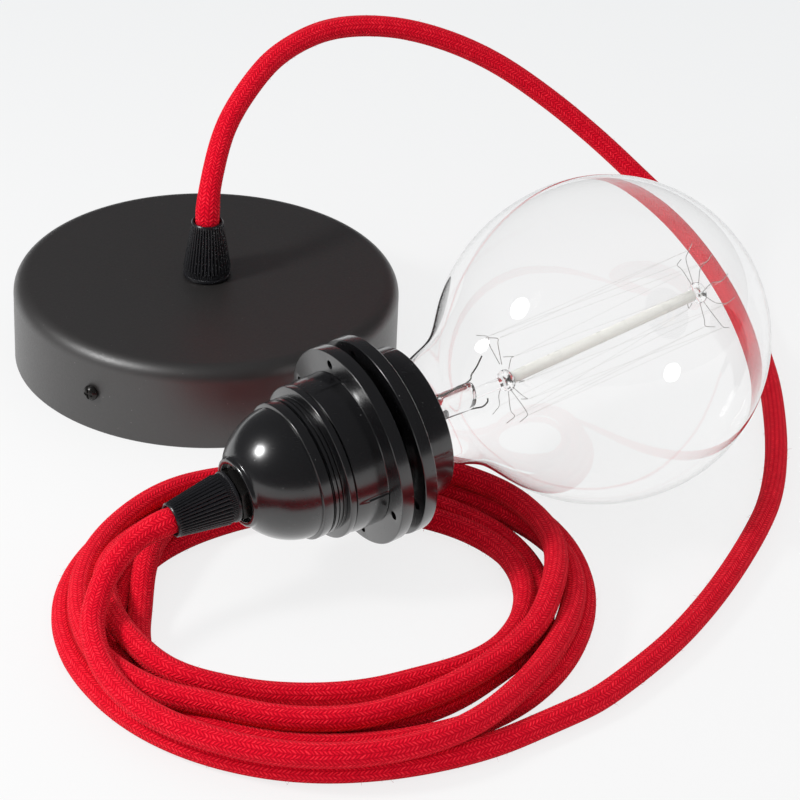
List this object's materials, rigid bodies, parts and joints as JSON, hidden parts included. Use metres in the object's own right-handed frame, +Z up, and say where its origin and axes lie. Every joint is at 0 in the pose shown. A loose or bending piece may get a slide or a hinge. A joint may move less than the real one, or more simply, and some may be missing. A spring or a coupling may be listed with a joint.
{
  "type": "pendant cord set",
  "caption": "Pendant cord set: round ceiling canopy, braided cord, and a lamp holder with shade rings and a clear globe bulb screwed in, lying on a table.",
  "frame": {"origin": "middle of the canopy bracket's flat face that goes against the ceiling, here face down on the table", "axes": "+Z up from the table and into the cup, +Y away from the viewer of the picture, +X to the right"},
  "size_m": [0.2401, 0.3099, 0.0949],
  "materials": {
    "canopy_paint": "matt black paint",
    "steel": "zinc plated",
    "black_screw": "blackened steel",
    "white_plastic": "moulded",
    "brass": "bright",
    "live_core": "wire insulation",
    "neutral_core": "wire insulation",
    "earth_core": "wire insulation",
    "grip_plastic": "satin black moulding",
    "holder_plastic": "glossy black moulding",
    "ceramic": "unglazed steatite",
    "clear_glass": "clear",
    "cap_brass": "rolled thread",
    "black_insulator": "black glass",
    "cream_rod": "milky glass",
    "filament_wire": "thin dark wire",
    "lead_wire": "nickel wire",
    "red_braid": "cotton braid"
  },
  "bodies": {
    "root": {"canopy_cup": "canopy_paint", "mounting_bracket": "steel", "side_screw_front": "black_screw", "side_screw_rear": "black_screw", "terminal_block": "white_plastic", "terminal_tube_1": "brass", "terminal_tube_2": "brass", "terminal_tube_3": "brass", "clamp_screw_1a": "steel", "clamp_screw_1b": "steel", "clamp_screw_2a": "steel", "clamp_screw_2b": "steel", "clamp_screw_3a": "steel", "clamp_screw_3b": "steel", "terminal_block_screw": "steel", "earth_tag": "brass", "earth_screw": "steel", "canopy_core_live": "live_core", "canopy_core_neutral": "neutral_core", "canopy_core_earth": "earth_core", "canopy_grip_cap": "grip_plastic", "canopy_grip_stem": "grip_plastic", "canopy_lock_washer": "steel", "canopy_lock_nut": "steel", "holder_shell": "holder_plastic", "holder_dome": "holder_plastic", "shade_ring_front": "holder_plastic", "shade_ring_rear": "holder_plastic", "contact_insert": "ceramic", "centre_contact": "brass", "side_contact": "brass", "holder_terminal_screw_live": "brass", "holder_terminal_screw_neutral": "brass", "holder_core_live": "live_core", "holder_core_neutral": "neutral_core", "holder_grip_stem": "grip_plastic", "holder_lock_nut": "steel", "holder_grip_cap": "grip_plastic", "bulb_glass": "clear_glass", "bulb_cap_shell": "cap_brass", "bulb_cap_insulator": "black_insulator", "bulb_tip_contact": "steel", "bulb_stem_glass": "clear_glass", "bulb_arbor": "cream_rod", "support_bead_near": "clear_glass", "support_bead_far": "clear_glass", "bulb_filament": "filament_wire", "lead_wire_left": "lead_wire", "lead_wire_right": "lead_wire", "cord_run": "red_braid", "cord_coil": "red_braid", "cord_tail": "red_braid"}
  },
  "joints": []
}
